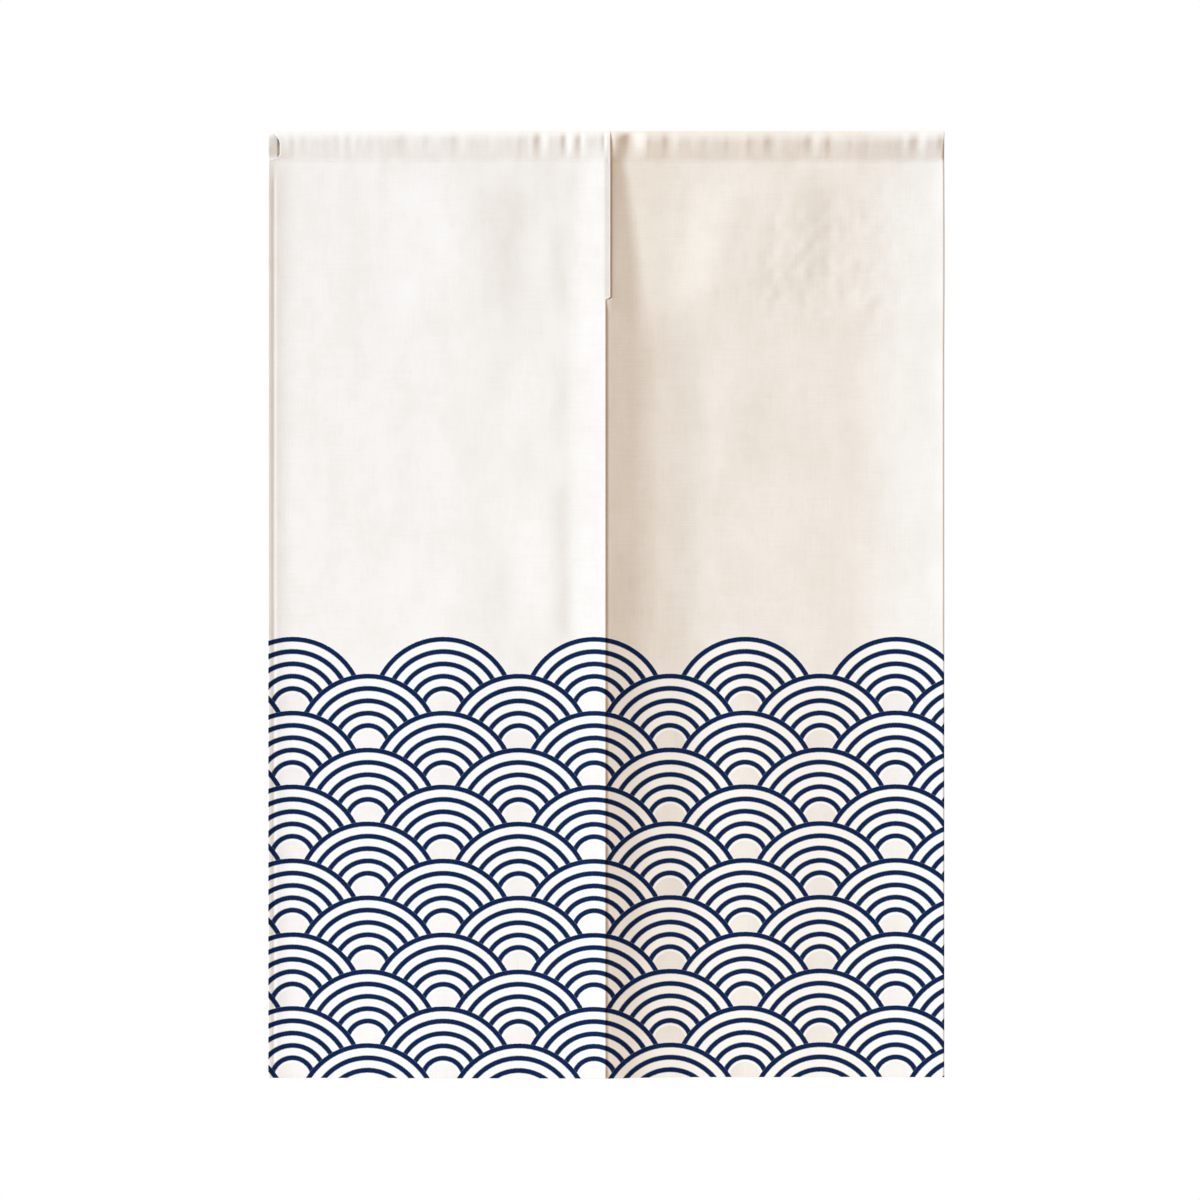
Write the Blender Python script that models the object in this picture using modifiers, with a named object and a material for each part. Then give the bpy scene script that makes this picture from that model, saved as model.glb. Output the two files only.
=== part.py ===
"""Builds a noren, the split cloth curtain of a doorway, in the shape in which it hangs.

Two printed lengths of cotton and linen cloth hang side by side. The top of each is folded over into an
open pocket for a rod. The left length laps over the right one and is sewn to it only near the top, so a
slit runs from there to the foot. The cloth stands out in one narrow ridge along the slit, with a wide
hollow to the right of it, and has low, uneven folds elsewhere.

Metres, +Z up, the front towards -Y, and the origin at the middle of the top edge. "Out" is how far the
cloth stands towards the front, and "drop" is how far a point lies below the top edge.
"""

import math
from collections import namedtuple

import bmesh
import bpy
import numpy as np

# Driving dimensions
WIDTH = 0.850  # across both panels
LENGTH = 1.190  # from the top edge to the foot
CLOTH = 0.0012  # thickness of the cloth
HEM = 0.0020  # thickness where the cloth is turned over on itself
SIDE_HEM_WIDTH = 0.010
FOOT_HEM_WIDTH = 0.020
GAP = 0.0003  # between pieces that are sewn together

POCKET_DROP = 0.037  # the stitches that close the pocket
POCKET_RADIUS = 0.0100  # the round top of the pocket, as a rod leaves it
STITCHED = 0.003  # the height over which the pocket's two layers are one
LEFT_MOUTH = 0.011  # how far the front of the left outer mouth is drawn back from the curtain's edge
RIGHT_MOUTH = 0.002
MOUTH_REACH = 0.036  # the length of pocket that this disturbs
MOUTH_HEIGHT = 0.40  # where on the pocket's front it is largest, as a share of its height
MOUTH_SPREAD = 0.50

SEAM_X = -0.0012  # the left panel's free edge
LAP = 0.0040  # how far the left panel lies over the right one
SEAM_DROP = 0.212  # the panels are sewn together down to here
SLIT_GAP = 0.0012  # between the two panels along the open slit
SLIT_EASE = 0.060  # the length below the seam in which that gap opens
CREST_START = 0.0030  # the right panel's fall starts softly this far past the left one's edge
CREST_SOFTNESS = 0.0050

# How the ridge along the slit grows from the top to the foot, a row for each height.
# ridge: how far out the left panel's free edge stands. left_run: how wide the left panel's rise to it is.
# right_run: how wide the right panel's steep fall from it is. soft: half the width of the bend where
# that fall ends. field: how far out it ends.
# left_lean, right_lean: how far each panel leans from its outer edge to the slit.
# shallow: how far the second, gentler fall of the right panel goes.
Height = namedtuple("Height", "drop ridge left_run right_run soft field left_lean right_lean shallow")
RIDGE = (
    Height(0.037, 0.0030, 0.028, 0.020, 0.005, -0.0044, 0.0000, 0.0030, 0.0000),
    Height(0.131, 0.0060, 0.036, 0.033, 0.008, -0.0052, 0.0020, 0.0018, 0.0003),
    Height(0.212, 0.0082, 0.038, 0.041, 0.011, -0.0039, 0.0042, 0.0020, 0.0025),
    Height(0.288, 0.0105, 0.040, 0.046, 0.016, 0.0002, 0.0064, 0.0030, 0.0105),
    Height(0.520, 0.0130, 0.041, 0.047, 0.017, 0.0024, 0.0088, 0.0038, 0.0110),
    Height(1.190, 0.0140, 0.042, 0.047, 0.017, 0.0034, 0.0098, 0.0042, 0.0110),
)
RISE_SOFTNESS = 0.010  # half the width of the bend where the left panel starts to rise
SHALLOW_RUN = 0.113  # where the right panel's gentler fall ends
SHALLOW_SOFTNESS = 0.018

# The outer edges curl towards the front, ever more steeply as the edge comes nearer.
LEFT_CURL_WIDTH = 0.036
LEFT_CURL = 0.0042
RIGHT_CURL_WIDTH = 0.030
RIGHT_CURL = 0.0016
CURL_POWER = 2.5
RIGHT_LIFT_WIDTH = 0.115  # the right panel comes forward again over this width, inside its curl
RIGHT_LIFT = 0.0034

# The low folds: each is a soft crest that runs from one point of the cloth to another and fades at both.
# left_width and right_width are its flanks. Those that reach the foot end below it, so they don't fade.
Fold = namedtuple("Fold", "top_x top_drop foot_x foot_drop left_width right_width out")
LEFT_FOLDS = {
    "shoulder": Fold(-0.168, 0.037, -0.164, 0.225, 0.120, 0.085, 0.0045),
    "knuckle": Fold(-0.076, 0.120, -0.070, 0.215, 0.040, 0.026, 0.0011),
    "upper_ripple": Fold(-0.072, 0.300, -0.074, 0.400, 0.060, 0.030, 0.0010),
    "lower_ripple": Fold(-0.074, 0.450, -0.068, 0.640, 0.060, 0.030, 0.0017),
    "inner_swell": Fold(-0.190, 0.560, -0.215, 1.400, 0.110, 0.100, 0.0014),
}
RIGHT_FOLDS = {
    "diagonal": Fold(0.180, 0.030, 0.140, 0.215, 0.070, 0.150, 0.0044),
    "shoulder": Fold(0.250, 0.020, 0.236, 0.180, 0.075, 0.045, 0.0022),
    "ripple": Fold(0.160, 0.300, 0.162, 0.430, 0.046, 0.050, 0.0011),
    "low_swell": Fold(0.185, 0.640, 0.210, 1.400, 0.060, 0.090, 0.0012),
}
FOLD_FADE = 0.060  # the length over which a fold comes and goes

# Where the pocket is drawn together, as where cloth bunches on a rod or is caught by a seam.
Pleat = namedtuple("Pleat", "x half_width depth")
LEFT_PLEATS = {
    "outer": Pleat(-0.252, 0.012, 0.0005),
    "first": Pleat(-0.083, 0.012, 0.0020),
    "second": Pleat(-0.051, 0.010, 0.0018),
    "third": Pleat(-0.033, 0.008, 0.0014),
    "tuck": Pleat(-0.0045, 0.008, 0.0010),
}
RIGHT_PLEATS = {
    "lap": Pleat(-0.004, 0.022, 0.0016),
    "hollow": Pleat(0.030, 0.022, 0.0028),
    "first": Pleat(0.078, 0.014, 0.0010),
    "second": Pleat(0.209, 0.014, 0.0012),
    "third": Pleat(0.258, 0.014, 0.0012),
    "fourth": Pleat(0.390, 0.014, 0.0016),
    "corner": Pleat(WIDTH / 2, 0.014, 0.0014),
}

# The lines of each grid: where a stretch of it ends, and into how many steps that stretch is divided.
# The first only starts the grid. The steps are small where the cloth bends most.
Stretch = namedtuple("Stretch", "end steps")
LEFT_COLUMNS = (
    Stretch(-WIDTH / 2, 0), Stretch(SIDE_HEM_WIDTH - WIDTH / 2, 3), Stretch(-0.389, 4),
    Stretch(-0.100, 12), Stretch(-0.045, 4), Stretch(SEAM_X - SIDE_HEM_WIDTH, 5), Stretch(SEAM_X, 2),
)
RIGHT_COLUMNS = (
    Stretch(SEAM_X - LAP, 0), Stretch(SEAM_X - LAP + SIDE_HEM_WIDTH, 4), Stretch(0.070, 9), Stretch(0.124, 4),
    Stretch(0.395, 11), Stretch(WIDTH / 2 - SIDE_HEM_WIDTH, 3), Stretch(WIDTH / 2, 3),
)
ROWS = (
    Stretch(LENGTH, 0), Stretch(LENGTH - FOOT_HEM_WIDTH, 1), Stretch(0.700, 5), Stretch(0.300, 6),
    Stretch(POCKET_DROP + GAP, 9),
)
SQUARE_END = 0.0020  # the pockets keep one section for this long where they meet, so their ends are flat
LEFT_POCKET_END = SEAM_X - GAP
LEFT_POCKET_COLUMNS = (
    Stretch(-WIDTH / 2, 0), Stretch(-0.389, 5), Stretch(-0.264, 3), Stretch(-0.240, 4),
    Stretch(-0.095, 3), Stretch(-0.071, 4), Stretch(-0.018, 8), Stretch(LEFT_POCKET_END - SQUARE_END, 4),
    Stretch(LEFT_POCKET_END, 1),
)
RIGHT_POCKET_COLUMNS = (
    Stretch(SEAM_X, 0), Stretch(SEAM_X + SQUARE_END, 1), Stretch(0.052, 9), Stretch(0.064, 1),
    Stretch(0.092, 4), Stretch(0.195, 3), Stretch(0.223, 4), Stretch(0.244, 2), Stretch(0.272, 4),
    Stretch(0.376, 3), Stretch(WIDTH / 2, 7),
)
WALL_STEPS = 3  # of the pocket's section, from the stitches to its round top
ARC_STEPS = 8
FRONT_OF_ARC = ARC_STEPS // 4  # the steps of the arc that belong to the pocket's front
WELD = 1e-6

CLOTH_COLOUR = (0.93, 0.91, 0.86, 1.0)
POCKET_COLOUR = (0.86, 0.83, 0.78, 1.0)
ROUGHNESS = 0.9
SHARP_ANGLE = math.radians(50.0)


def stations(stretches):
    """The places of a grid's lines, evenly spaced within each stretch."""
    places = [stretches[0].end]
    for before, stretch in zip(stretches, stretches[1:]):
        places.extend(np.linspace(before.end, stretch.end, stretch.steps + 1)[1:])
    return np.array(places)


def ease(value, start, end):
    """0 before start and 1 past end, with an S curve between them."""
    t = np.clip((value - start) / (end - start), 0.0, 1.0)
    return t * t * (3.0 - 2.0 * t)


def swell(distance, half_width):
    """1 at no distance and 0 from half_width on, as one wave of a cosine."""
    return 0.5 + 0.5 * np.cos(math.pi * np.clip(distance / half_width, -1.0, 1.0))


def bend(distance, softness):
    """0 before the bend and the distance itself past it, with a round corner between them."""
    corner = (distance + softness) ** 2 / (4.0 * softness)
    return np.where(distance < -softness, 0.0, np.where(distance > softness, distance, corner))


def ridge_value(column, drop):
    """One column of the ridge's table at a drop: cubic curves through its rows, which never overshoot them.

    The slope at a row is the harmonic mean of the slopes to the rows beside it, or 0 at a turning point.
    """
    knots = np.array([height.drop for height in RIDGE])
    values = np.array([getattr(height, column) for height in RIDGE])
    secants = np.diff(values) / np.diff(knots)
    slopes = np.concatenate([secants[:1], np.zeros(len(knots) - 2), secants[-1:]])
    before, after = secants[:-1], secants[1:]
    same_way = before * after > 0.0
    slopes[1:-1][same_way] = (2.0 * before * after)[same_way] / (before + after)[same_way]
    drop = np.clip(drop, knots[0], knots[-1])
    i = np.clip(np.searchsorted(knots, drop, side="right") - 1, 0, len(knots) - 2)
    span = knots[i + 1] - knots[i]
    t = (drop - knots[i]) / span
    return (
        values[i] * (1 + 2 * t) * (1 - t) ** 2
        + slopes[i] * span * t * (1 - t) ** 2
        + values[i + 1] * t * t * (3 - 2 * t)
        + slopes[i + 1] * span * t * t * (t - 1)
    )


def low_folds(folds, x, drop):
    """The sum of the low folds: each one's flanks are half waves, and it leans as its two ends say."""
    total = np.zeros(np.broadcast(x, drop).shape)
    for fold in folds.values():
        down = (drop - fold.top_drop) / (fold.foot_drop - fold.top_drop)
        crest = fold.top_x + (fold.foot_x - fold.top_x) * down
        flank = np.where(x < crest, fold.left_width, fold.right_width)
        comes = ease(drop, fold.top_drop - FOLD_FADE / 2, fold.top_drop + FOLD_FADE / 2)
        goes = ease(drop, fold.foot_drop - FOLD_FADE / 2, fold.foot_drop + FOLD_FADE / 2)
        total = total + fold.out * comes * (1.0 - goes) * swell(x - crest, flank)
    return total * ease(drop, POCKET_DROP, POCKET_DROP + FOLD_FADE)


def edge_curl(from_edge, width, out, drop):
    """The forward curl of an outer edge, which grows from the top edge down."""
    near = np.clip(1.0 - from_edge / width, 0.0, 1.0)
    return out * ease(drop, 0.0, 2 * POCKET_DROP) * near ** CURL_POWER


def left_out(x, drop):
    """How far out the front of the left panel stands."""
    from_edge = x + WIDTH / 2
    lean = ridge_value("left_lean", drop)
    run = ridge_value("left_run", drop)
    rise = (ridge_value("ridge", drop) - lean) / run * bend(x - SEAM_X + run, RISE_SOFTNESS)
    curl = edge_curl(from_edge, LEFT_CURL_WIDTH, LEFT_CURL, drop)
    folds = low_folds(LEFT_FOLDS, x, drop) * ease(SEAM_X - x, 0.0, SIDE_HEM_WIDTH)
    return lean * from_edge / (WIDTH / 2) + rise + curl + folds


def slit_gap(drop):
    """The space between the panels where they overlap: sewn close at the top, then open."""
    return GAP + (SLIT_GAP - GAP) * ease(drop, SEAM_DROP, SEAM_DROP + SLIT_EASE)


def right_out(x, drop):
    """How far out the front of the right panel stands."""
    from_edge = WIDTH / 2 - x
    from_seam = bend(x - SEAM_X - CREST_START, CREST_SOFTNESS)
    behind_left = left_out(np.minimum(x, SEAM_X), drop) - HEM - slit_gap(drop)
    at_seam = left_out(np.full_like(x, SEAM_X), drop) - HEM - slit_gap(drop)
    field = ridge_value("field", drop)
    run = ridge_value("right_run", drop)
    fall = (at_seam - field) / run * (bend(run - from_seam, ridge_value("soft", drop)) - run)
    gentle = bend(SHALLOW_RUN - from_seam, SHALLOW_SOFTNESS) / SHALLOW_RUN - 1.0
    lean = ridge_value("right_lean", drop) * from_seam / (WIDTH / 2)
    lift = RIGHT_LIFT * (1.0 - ease(from_edge, 0.0, RIGHT_LIFT_WIDTH))
    lift = lift * ease(drop, POCKET_DROP, 4 * POCKET_DROP)
    curl = edge_curl(from_edge, RIGHT_CURL_WIDTH, RIGHT_CURL, drop)
    folds = low_folds(RIGHT_FOLDS, x, drop) * ease(from_seam, SIDE_HEM_WIDTH, 3 * SIDE_HEM_WIDTH)
    return behind_left + fall + ridge_value("shallow", drop) * gentle - lean + lift + curl + folds


def material(name, colour):
    made = bpy.data.materials.new(name)
    made.use_nodes = True
    shader = made.node_tree.nodes["Principled BSDF"]
    shader.inputs["Base Color"].default_value = colour
    shader.inputs["Roughness"].default_value = ROUGHNESS
    shader.inputs["Metallic"].default_value = 0.0
    made.diffuse_color = colour
    return made


def bent_grid(name, place, colour):
    """An object made of a flat grid whose point (i, j) is moved to place[i, j], welded where it meets."""
    columns, rows = place.shape[:2]
    mesh = bpy.data.meshes.new(name)
    grid = bmesh.new()
    bmesh.ops.create_grid(grid, x_segments=columns - 1, y_segments=rows - 1, size=1.0)
    for vertex in grid.verts:
        i = round((vertex.co.x + 1.0) / 2.0 * (columns - 1))
        j = round((vertex.co.y + 1.0) / 2.0 * (rows - 1))
        vertex.co = place[i, j]
    bmesh.ops.remove_doubles(grid, verts=grid.verts, dist=WELD)
    grid.to_mesh(mesh)
    grid.free()
    mesh.shade_smooth()
    made = bpy.data.objects.new(name, mesh)
    made.data.materials.append(material(name + "_cloth", colour))
    parts.objects.link(made)
    return made


def panel(name, columns, out):
    """A hanging panel: a grid over its width and drop, thicker in its side hems and foot hem."""
    x = stations(columns)
    drop = stations(ROWS)
    across, down = np.meshgrid(x, drop, indexing="ij")
    place = np.stack([across, -out(across, down), -down], axis=2)
    made = bent_grid(name, place, CLOTH_COLOUR)
    hems = made.vertex_groups.new(name="hems")
    turned = [
        vertex.index
        for vertex in made.data.vertices
        if min(vertex.co.x - x[0], x[-1] - vertex.co.x) < SIDE_HEM_WIDTH - WELD
        or LENGTH + vertex.co.z < FOOT_HEM_WIDTH - WELD
    ]
    hems.add(turned, 1.0, "REPLACE")
    solidify = made.modifiers.new("thickness", "SOLIDIFY")
    solidify.thickness = HEM
    solidify.offset = -1.0
    solidify.use_even_offset = True
    solidify.vertex_group = hems.name
    solidify.thickness_vertex_group = CLOTH / HEM
    return made


def tangent_angle(foot_y, radius, side):
    """The angle on the pocket's round top at which the straight wall from the stitches meets it."""
    towards = math.atan2(radius - POCKET_DROP, foot_y)
    distance = math.hypot(foot_y, POCKET_DROP - radius)
    return towards + side * math.acos(radius / distance)


def pocket_section(radius, stitches_y, inset, lift):
    """The pocket's outline in Y and Z, from the front stitches over the round top to the back ones.

    It is the shape of cloth drawn round a rod: an arc, and the two tangents to it from the stitches,
    where the two layers lie on each other. The inner face of the cloth lies inset within that outline,
    and ends lift above the stitches.
    """
    front = tangent_angle(stitches_y, radius, -1.0)
    back = tangent_angle(stitches_y + 2 * CLOTH, radius, 1.0) - 2.0 * math.pi
    turn = np.linspace(front, back, ARC_STEPS + 1)
    outward = np.stack([np.cos(turn), np.sin(turn)], axis=1)
    arc = (radius - inset) * outward - (0.0, radius)
    walls = []
    for foot_y, end in ((stitches_y, 0), (stitches_y + 2 * CLOTH, -1)):
        foot = np.array((foot_y, -POCKET_DROP))
        up = radius * outward[end] - (0.0, radius) - foot
        foot = foot - inset * outward[end] + lift * up / np.linalg.norm(up)
        walls.append(np.linspace(foot, arc[end], WALL_STEPS + 1)[:-1])
    return np.concatenate([walls[0], arc, walls[1][::-1]])


def pocket_radius(pleats, x):
    """The radius of the pocket's round top, less where a pleat draws it in."""
    drawn = sum(depth * swell(x - at, half_width) for at, half_width, depth in pleats.values())
    return POCKET_RADIUS - drawn


def pocket_skin(x, shaped_at, out, pleats, outer_x, mouth, inset, lift):
    """One face of the pocket's cloth: a section at each x, its front drawn back at the outer mouth."""
    stitches = -out(shaped_at, np.full_like(x, POCKET_DROP))
    sections = []
    for at, stitches_y, radius in zip(x, stitches, pocket_radius(pleats, shaped_at)):
        outline = pocket_section(radius, stitches_y, inset, lift)
        height = 1.0 + outline[:, 1] / POCKET_DROP
        is_front = np.arange(len(outline)) <= WALL_STEPS + FRONT_OF_ARC
        drawn = mouth * is_front * swell(height - MOUTH_HEIGHT, MOUTH_SPREAD)
        near_mouth = swell(at - outer_x, MOUTH_REACH)
        moved = at - math.copysign(1.0, outer_x) * drawn * near_mouth
        sections.append(np.stack([moved, outline[:, 0], outline[:, 1]], axis=1))
    skin = np.array(sections)
    return np.concatenate([skin, skin[:, :1]], axis=1)


def pocket(name, columns, out, pleats, outer_x, mouth):
    """An open sleeve for the rod, closed by the stitches at its foot.

    Its outer face, a rim, its inner face and the other rim follow one another on one grid, which closes
    on itself both ways. The two layers of cloth run into one at the stitches, so the sleeve isn't a
    sheet with a thickness all over.
    """
    x = stations(columns)
    shaped_at = np.where(
        outer_x < 0, np.minimum(x, LEFT_POCKET_END - SQUARE_END), np.maximum(x, SEAM_X + SQUARE_END)
    )
    outer = pocket_skin(x, shaped_at, out, pleats, outer_x, mouth, 0.0, 0.0)
    inner = pocket_skin(x, shaped_at, out, pleats, outer_x, mouth, CLOTH, STITCHED)
    place = np.concatenate([outer, inner[::-1], outer[:1]])
    made = bent_grid(name, place, POCKET_COLOUR)
    made.data.set_sharp_from_angle(angle=SHARP_ANGLE)
    return made


for old in list(bpy.data.objects):
    bpy.data.objects.remove(old, do_unlink=True)
parts = bpy.data.collections.new("noren_curtain")
bpy.context.scene.collection.children.link(parts)

panel("panel_left", LEFT_COLUMNS, left_out)
panel("panel_right", RIGHT_COLUMNS, right_out)
pocket("rod_pocket_left", LEFT_POCKET_COLUMNS, left_out, LEFT_PLEATS, -WIDTH / 2, LEFT_MOUTH)
pocket("rod_pocket_right", RIGHT_POCKET_COLUMNS, right_out, RIGHT_PLEATS, WIDTH / 2, RIGHT_MOUTH)
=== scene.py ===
import math
from collections import namedtuple

import bpy
import numpy as np
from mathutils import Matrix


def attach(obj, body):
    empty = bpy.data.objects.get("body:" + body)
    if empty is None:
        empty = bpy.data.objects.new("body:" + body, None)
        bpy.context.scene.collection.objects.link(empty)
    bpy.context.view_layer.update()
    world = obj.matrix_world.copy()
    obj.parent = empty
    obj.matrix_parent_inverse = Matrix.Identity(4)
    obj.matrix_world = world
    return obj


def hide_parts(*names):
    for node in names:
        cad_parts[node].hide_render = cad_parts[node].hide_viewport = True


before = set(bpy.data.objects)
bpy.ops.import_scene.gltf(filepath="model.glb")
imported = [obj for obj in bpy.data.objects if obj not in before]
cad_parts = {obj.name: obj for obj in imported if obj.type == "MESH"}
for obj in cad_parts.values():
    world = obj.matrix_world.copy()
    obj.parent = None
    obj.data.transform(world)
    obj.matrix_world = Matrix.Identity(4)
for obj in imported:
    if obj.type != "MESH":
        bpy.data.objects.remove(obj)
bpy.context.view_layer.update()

# The left cloth: one length of bleached cotton and linen cloth, printed with waves over its lower half. Its
# sides and foot are turned to the back and hemmed, and its top is folded over to the back and stitched
# down as a sleeve for the rod. It is the front one of the two where they meet, down the middle.
WIDTH = 0.850  # across both cloths, hanging
LENGTH = 1.190
CLOTH = 0.0004  # one layer of cloth
LAYER = 0.00048  # from one layer to the next where it is turned over
SIDE_HEM = 0.012
FOOT_HEM = 0.020
POCKET_DROP = 0.037  # the stitches that close the sleeve
POCKET_RADIUS = 0.0100
POCKET_EDGE = 0.0040  # how far the sleeve's turned edge shows below its stitches, at the back
SEAM_X = -0.0012  # the left cloth's inner edge, along the slit
SEAM_DROP = 0.212  # the cloths are sewn together down to here
SEAM_LAP = 0.0060  # how much further the left cloth reaches where it is sewn down, above the slit
SEAM_PRESS = 0.0012  # how far the seam draws both cloths back
PRESS_START, PRESS_FULL = -0.0025, -0.0010  # from the slit edge and from the lap's edge, to the right
PRESS_CLEAR, PRESS_GONE = 0.0001, 0.0022  # past the lap's edge
SEAM_END = 0.0025  # the length in which the seam comes to its end

# How the ridge along the slit grows from the top to the foot: its height, how wide its two flanks are,
# how softly the right one ends and where, how far each cloth leans, and the right cloth's gentler fall.
Height = namedtuple("Height", "drop ridge left_run right_run soft field left_lean right_lean shallow")
RIDGE = (
    Height(0.037, 0.0030, 0.028, 0.020, 0.005, -0.0050, 0.0000, 0.0030, 0.0000),
    Height(0.131, 0.0060, 0.036, 0.033, 0.008, -0.0052, 0.0020, 0.0018, 0.0003),
    Height(0.212, 0.0082, 0.038, 0.041, 0.011, -0.0039, 0.0042, 0.0020, 0.0025),
    Height(0.288, 0.0105, 0.040, 0.046, 0.016, 0.0002, 0.0064, 0.0030, 0.0105),
    Height(0.520, 0.0130, 0.041, 0.047, 0.017, 0.0024, 0.0088, 0.0038, 0.0110),
    Height(1.190, 0.0140, 0.042, 0.047, 0.017, 0.0034, 0.0098, 0.0042, 0.0110),
)
RISE_SOFTNESS = 0.010
LEFT_CURL_WIDTH = 0.036
LEFT_CURL = 0.0042
CURL_POWER = 2.5

# The low folds: soft crests from one point of the cloth to another, with unequal flanks.
Fold = namedtuple("Fold", "top_x top_drop foot_x foot_drop left_width right_width out")
LEFT_FOLDS = {
    "shoulder": Fold(-0.168, 0.037, -0.164, 0.225, 0.120, 0.085, 0.0045),
    "knuckle": Fold(-0.076, 0.120, -0.070, 0.215, 0.040, 0.026, 0.0011),
    "upper_ripple": Fold(-0.072, 0.300, -0.074, 0.400, 0.060, 0.030, 0.0010),
    "lower_ripple": Fold(-0.074, 0.450, -0.068, 0.640, 0.060, 0.030, 0.0017),
    "inner_swell": Fold(-0.190, 0.560, -0.215, 1.400, 0.110, 0.100, 0.0014),
}
FOLD_FADE = 0.060

# Where the sleeve is drawn together, as cloth bunches on a rod or is caught by a seam.
Pleat = namedtuple("Pleat", "x half_width depth")
LEFT_PLEATS = {
    "outer": Pleat(-0.252, 0.012, 0.0005),
    "middle": Pleat(-0.187, 0.010, 0.0005),
    "first": Pleat(-0.083, 0.012, 0.0017),
    "second": Pleat(-0.051, 0.008, 0.0015),
    "third": Pleat(-0.033, 0.0065, 0.0012),
    "tuck": Pleat(-0.0030, 0.0040, 0.0008),
}
MOUTH_REACH = 0.036  # the length of sleeve that its drawn-back mouth disturbs
Mouth = namedtuple("Mouth", "drawn pulled")  # how far its front is drawn back, and its back pulled forward
LEFT_MOUTH = Mouth(0.0150, 0.0132)
PULL_REACH = 0.048  # the length over which the back is pulled forward, more and more towards the mouth
PULL_SOFTNESS = 0.004


def ease(value, start, end):
    """0 before start and 1 past end, with the S curve 3t^2 - 2t^3 between them."""
    t = np.clip((value - start) / (end - start), 0.0, 1.0)
    return t * t * (3.0 - 2.0 * t)


def swell(distance, half_width):
    """1 at no distance and 0 from half_width on, as one wave of a cosine."""
    return 0.5 + 0.5 * np.cos(math.pi * np.clip(distance / half_width, -1.0, 1.0))


def bend(distance, softness):
    """0 before the bend and the distance itself past it, with a parabola between them."""
    corner = (distance + softness) ** 2 / (4.0 * softness)
    return np.where(distance < -softness, 0.0, np.where(distance > softness, distance, corner))


def ridge_value(column, drop):
    """One column of the ridge's table at a drop: cubic curves through its rows, which never overshoot them.

    The slope at a row is the harmonic mean of the slopes to the rows beside it, or 0 at a turning point.
    """
    knots = np.array([height.drop for height in RIDGE])
    values = np.array([getattr(height, column) for height in RIDGE])
    secants = np.diff(values) / np.diff(knots)
    slopes = np.concatenate([secants[:1], np.zeros(len(knots) - 2), secants[-1:]])
    above, below = secants[:-1], secants[1:]
    same_way = above * below > 0.0
    slopes[1:-1][same_way] = (2.0 * above * below)[same_way] / (above + below)[same_way]
    drop = np.clip(drop, knots[0], knots[-1])
    i = np.clip(np.searchsorted(knots, drop, side="right") - 1, 0, len(knots) - 2)
    span = knots[i + 1] - knots[i]
    t = (drop - knots[i]) / span
    return (
        values[i] * (1 + 2 * t) * (1 - t) ** 2
        + slopes[i] * span * t * (1 - t) ** 2
        + values[i + 1] * t * t * (3 - 2 * t)
        + slopes[i + 1] * span * t * t * (t - 1)
    )


def low_folds(folds, x, drop):
    """The sum of the low folds: half a cosine wave to each side of a crest that leans as its ends say."""
    total = np.zeros(np.broadcast(x, drop).shape)
    for fold in folds.values():
        down = (drop - fold.top_drop) / (fold.foot_drop - fold.top_drop)
        crest = fold.top_x + (fold.foot_x - fold.top_x) * down
        flank = np.where(x < crest, fold.left_width, fold.right_width)
        comes = ease(drop, fold.top_drop - FOLD_FADE / 2, fold.top_drop + FOLD_FADE / 2)
        goes = ease(drop, fold.foot_drop - FOLD_FADE / 2, fold.foot_drop + FOLD_FADE / 2)
        total = total + fold.out * comes * (1.0 - goes) * swell(x - crest, flank)
    return total * ease(drop, POCKET_DROP, POCKET_DROP + FOLD_FADE)


def edge_curl(from_edge, width, out, drop):
    """The forward curl of an outer edge, a power of how near the edge is, which grows from the top down."""
    near = np.clip(1.0 - from_edge / width, 0.0, 1.5)
    return out * ease(drop, 0.0, 2 * POCKET_DROP) * near ** CURL_POWER


LATTICE = 257  # random values each way, more than the cells of any cloth


def rumple(x, drop, across, along, seed):
    """Smooth random relief from -1 to 1: a seeded value at each corner of cells, eased between them.

    The cells measure across by along. x = 0 is in the middle of the lattice, and 7 cells are above the cloth.
    """
    values = np.random.default_rng(seed).uniform(-1.0, 1.0, (LATTICE, LATTICE))
    i, j = x / across + LATTICE // 2, drop / along + 7.0
    column, row = np.floor(i).astype(int), np.floor(j).astype(int)
    s, t = ease(i - column, 0.0, 1.0), ease(j - row, 0.0, 1.0)
    a, b, c, d = column % LATTICE, (column + 1) % LATTICE, row % LATTICE, (row + 1) % LATTICE
    upper = values[a, c] * (1 - s) + values[b, c] * s
    lower = values[a, d] * (1 - s) + values[b, d] * s
    return upper * (1 - t) + lower * t


# What is left of handling in ironed cloth: how high each kind of wrinkle stands, the size of its cells, and
# what is added to the cloth's seed for it.
Wrinkle = namedtuple("Wrinkle", "height across along seed")
WRINKLES = {
    "broad_dents": Wrinkle(0.00036, 0.056, 0.071, 4),
    "small_dents": Wrinkle(0.00014, 0.027, 0.033, 5),
    "long_ripples": Wrinkle(0.00014, 0.046, 0.260, 0),
    "fine_ripples": Wrinkle(0.00006, 0.013, 0.110, 1),
}
PUCKERS = Wrinkle(0.00030, 0.015, 0.150, 3)
PUCKER_FADE = 0.012  # how soon the puckers die away below the sleeve's stitches


def wrinkle(kind, x, drop, seed):
    """One kind of wrinkle: its height times its random relief."""
    return kind.height * rumple(x, drop, kind.across, kind.along, seed + kind.seed)


def crumple(x, drop, seed):
    """The sum of the wrinkles, with puckers under the sleeve that fade as an exponential of the distance."""
    below = np.maximum(drop - POCKET_DROP, 0.0)
    puckers = wrinkle(PUCKERS, x, drop, seed) * np.exp(-below / PUCKER_FADE)
    return sum(wrinkle(kind, x, drop, seed) for kind in WRINKLES.values()) + puckers


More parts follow.
